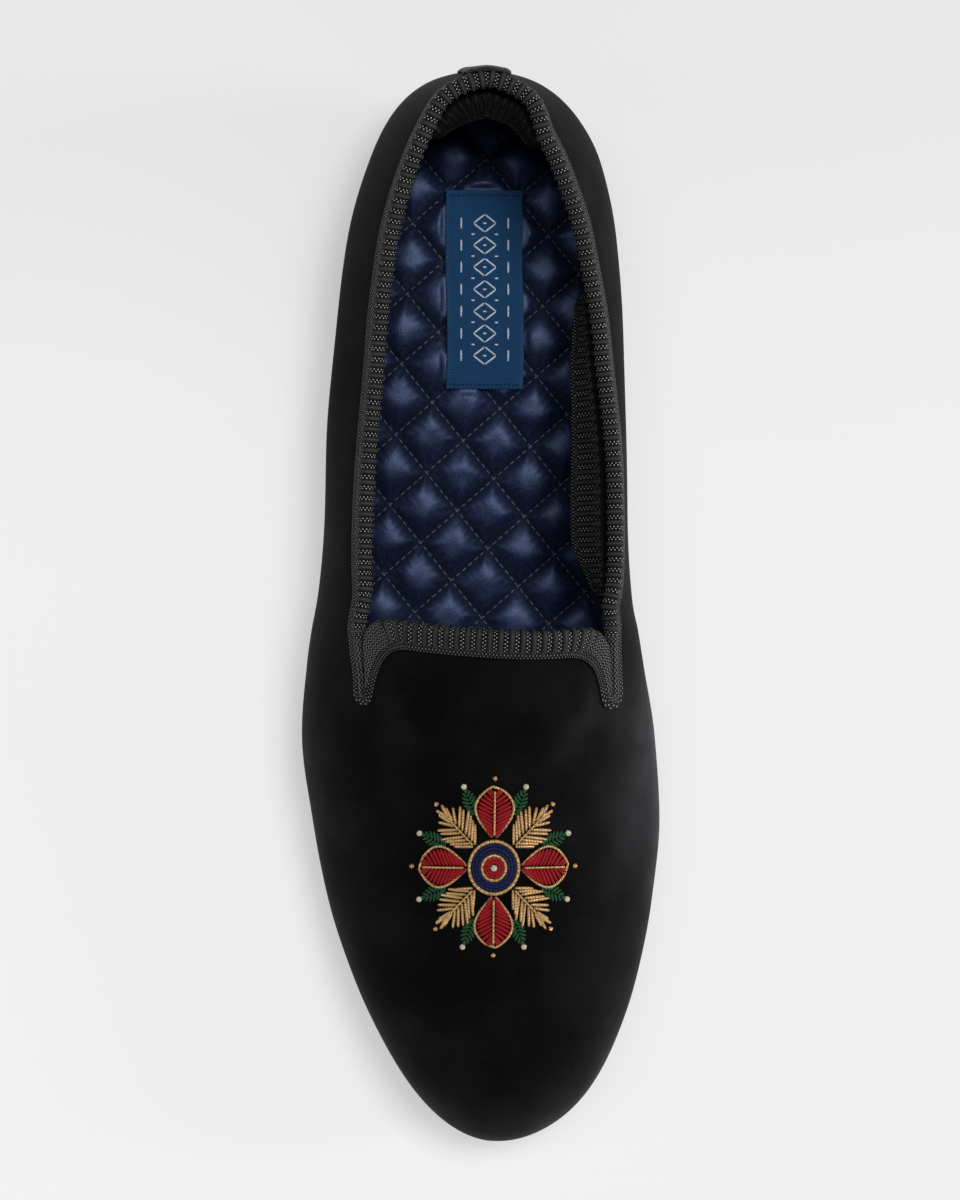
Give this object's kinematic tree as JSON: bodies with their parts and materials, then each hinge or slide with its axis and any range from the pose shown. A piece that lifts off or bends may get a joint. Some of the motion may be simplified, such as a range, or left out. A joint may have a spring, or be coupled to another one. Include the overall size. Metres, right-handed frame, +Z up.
{
  "type": "slip-on velvet house slipper",
  "caption": "Low slip-on velvet house slipper for the right foot, with a ribbon-bound collar, side slits, quilted insole, embroidered vamp and low heel.",
  "frame": {"origin": "centre of the shoe's box in plan, on the floor it stands on", "axes": "+Z up, -Y towards the toe, +X towards the inner (medial) side of the right foot"},
  "size_m": [0.0978, 0.2902, 0.0667],
  "materials": {
    "velvet": "short-pile black velvet",
    "ribbon": "ribbed charcoal ribbon",
    "strip": "plain charcoal ribbon",
    "satin": "quilted navy satin",
    "label": "woven blue label",
    "embroidery": "gold and coloured embroidery thread",
    "sole_leather": "smooth black sole leather",
    "heel_leather": "stacked black leather"
  },
  "bodies": {
    "root": {"upper": "velvet", "collar_binding": "ribbon", "back_strip": "strip", "insole": "satin", "insole_label": "label", "vamp_motif": "embroidery", "outsole": "sole_leather", "heel": "heel_leather"}
  },
  "joints": []
}
